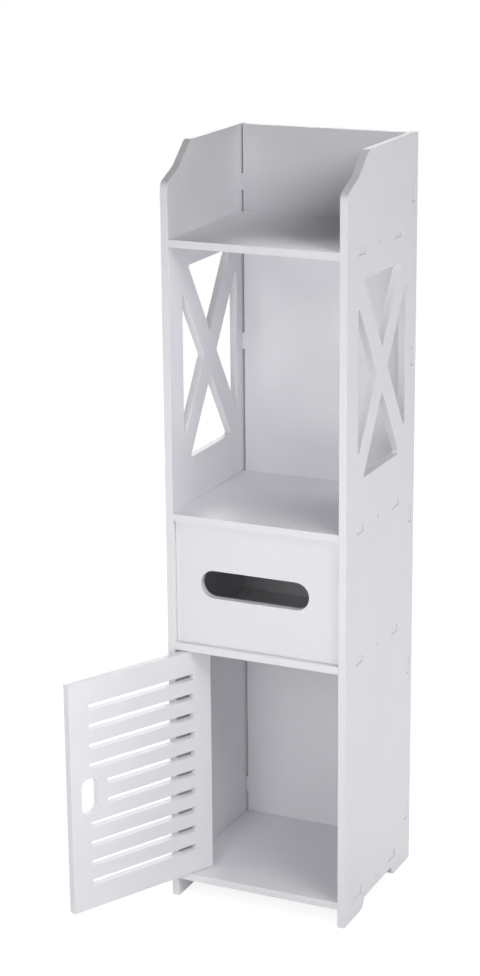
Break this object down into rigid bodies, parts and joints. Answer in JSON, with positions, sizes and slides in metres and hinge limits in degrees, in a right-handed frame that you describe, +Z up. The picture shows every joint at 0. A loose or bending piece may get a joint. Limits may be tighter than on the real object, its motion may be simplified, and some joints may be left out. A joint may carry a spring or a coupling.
{
  "type": "bathroom shelf unit",
  "caption": "Slim upright bathroom shelf unit with a scalloped tray on top, an open bay with cross fretwork sides, a drawer with a dispensing slot, and a louvred pivot door standing open",
  "frame": {"origin": "on the floor, in the middle of the case's footprint, halfway between the side boards and halfway along their depth; the open door isn't counted", "axes": "+Z up, front towards -Y, +X to the right seen from the front"},
  "size_m": [0.2498, 0.3226, 0.8],
  "materials": {
    "case_board": "smooth white foamed board with a soft satin skin",
    "drawer_board": "the same white board, thinner",
    "screw_metal": "zinc-plated steel",
    "pin_metal": "plain steel pin",
    "washer_plastic": "translucent white nylon",
    "dowel_wood": "plain beech"
  },
  "bodies": {
    "case": {"left_side": "case_board", "right_side": "case_board", "back_panel": "case_board", "top_shelf": "case_board", "middle_shelf": "case_board", "lower_shelf": "case_board", "bottom_shelf": "case_board", "shelf_screws_left": "screw_metal", "shelf_screws_right": "screw_metal", "door_pin_top": "pin_metal", "door_pin_bottom": "pin_metal", "door_washer_top": "washer_plastic", "door_washer_bottom": "washer_plastic"},
    "drawer": {"drawer_front": "case_board", "drawer_side_left": "drawer_board", "drawer_side_right": "drawer_board", "drawer_back": "drawer_board", "drawer_bottom": "drawer_board", "drawer_dowels": "dowel_wood"},
    "door": {"door_panel": "case_board"}
  },
  "joints": [
    {"name": "drawer_slide", "type": "slide", "parent": "case", "child": "drawer", "axis": [0, -1, 0], "range_m": [0, 0.12]},
    {"name": "door_hinge", "type": "hinge", "parent": "case", "child": "door", "pos_m": [-0.074, -0.08, 0.154], "axis": [0, 0, -1], "range_deg": [-116.5, 12]}
  ]
}
